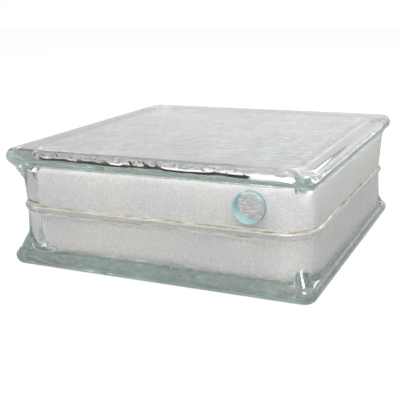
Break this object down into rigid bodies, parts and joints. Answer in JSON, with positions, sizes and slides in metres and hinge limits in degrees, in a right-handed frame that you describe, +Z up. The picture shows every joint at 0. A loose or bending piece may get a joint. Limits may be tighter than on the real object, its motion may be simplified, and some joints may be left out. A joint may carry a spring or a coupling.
{
  "type": "hollow glass block",
  "caption": "Square hollow glass block with flanged faces, a fused seam round its sides and a round lamp hole drilled through one side wall.",
  "frame": {"origin": "centre of the lower face, on the floor that the block lies on", "axes": "+Z up through the thickness, from the lower face to the upper face; -Y towards the side with the lamp hole; +X to the right seen from that side"},
  "size_m": [0.203, 0.203, 0.076],
  "materials": {
    "glass": "clear pressed soda-lime glass with a faint green tint, smooth faces outside and a hazy coating on the side walls"
  },
  "bodies": {
    "root": {"lower_shell": "glass", "upper_shell": "glass"}
  },
  "joints": []
}
